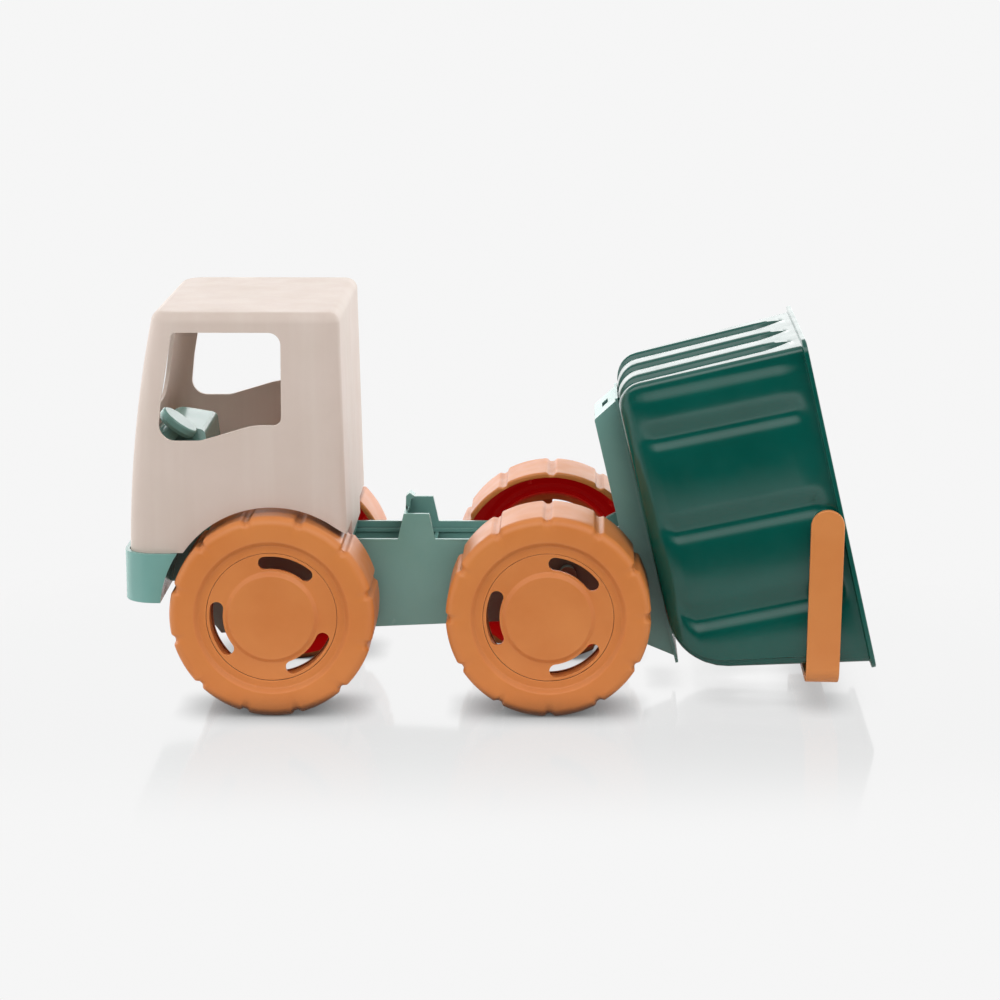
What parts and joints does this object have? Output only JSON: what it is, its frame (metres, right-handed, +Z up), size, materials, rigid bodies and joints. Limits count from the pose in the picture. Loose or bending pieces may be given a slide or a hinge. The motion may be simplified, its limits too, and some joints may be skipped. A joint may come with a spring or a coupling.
{
  "type": "toy tipper truck",
  "caption": "Toy tipper truck with a hollow cab, two wheelsets, a load tub that tips over the rear axle, and a swinging carry handle.",
  "frame": {"origin": "on the ground, on the centre plane, under the middle of the overall length with the tub tipped", "axes": "+X towards the truck's rear, +Y towards its right-hand side, +Z up"},
  "size_m": [0.4058, 0.166, 0.2175],
  "materials": {
    "orange_tyre": "moulded polypropylene, satin, orange",
    "orange_hub": "moulded polypropylene, satin, orange",
    "orange_handle": "moulded polypropylene, satin, orange",
    "beige_cab": "moulded polypropylene, satin, warm beige",
    "sage_green": "moulded polypropylene, satin, sage green",
    "dark_green": "moulded polypropylene, low gloss, dark green",
    "steel": "bright drawn steel"
  },
  "bodies": {
    "chassis": {"chassis": "sage_green", "cab_shell": "beige_cab", "dashboard_console": "sage_green", "cab_screws": "steel", "hinge_pin": "steel", "hinge_pin_caps": "sage_green"},
    "tipper": {"tipper_tray": "sage_green", "tipper_tub": "dark_green", "tub_screws": "steel"},
    "handle": {"carry_handle": "orange_handle"},
    "front_wheelset": {"front_axle": "steel", "wheel_shell_front_left": "orange_tyre", "wheel_shell_front_right": "orange_tyre", "wheel_hub_front_left": "orange_hub", "wheel_hub_front_right": "orange_hub"},
    "rear_wheelset": {"rear_axle": "steel", "wheel_shell_rear_left": "orange_tyre", "wheel_shell_rear_right": "orange_tyre", "wheel_hub_rear_left": "orange_hub", "wheel_hub_rear_right": "orange_hub"},
    "steering": {"steering_wheel": "sage_green"}
  },
  "joints": [
    {"name": "tub_tip", "type": "hinge", "parent": "chassis", "child": "tipper", "pos_m": [0.03546, 0, 0.066], "axis": [0, 1, 0], "range_deg": [-77, 0]},
    {"name": "handle_swing", "type": "hinge", "parent": "tipper", "child": "handle", "pos_m": [0.17466, 0, 0.10275], "axis": [0, 1, 0], "range_deg": [-180, 7]},
    {"name": "front_wheels_spin", "type": "hinge", "parent": "chassis", "child": "front_wheelset", "pos_m": [-0.12254, 0, 0.055], "axis": [0, 1, 0], "continuous": true},
    {"name": "rear_wheels_spin", "type": "hinge", "parent": "chassis", "child": "rear_wheelset", "pos_m": [0.02546, 0, 0.055], "axis": [0, 1, 0], "continuous": true},
    {"name": "steering_turn", "type": "hinge", "parent": "chassis", "child": "steering", "pos_m": [-0.17604, -0.036, 0.152], "axis": [0.6018, 0, 0.7986], "continuous": true}
  ]
}
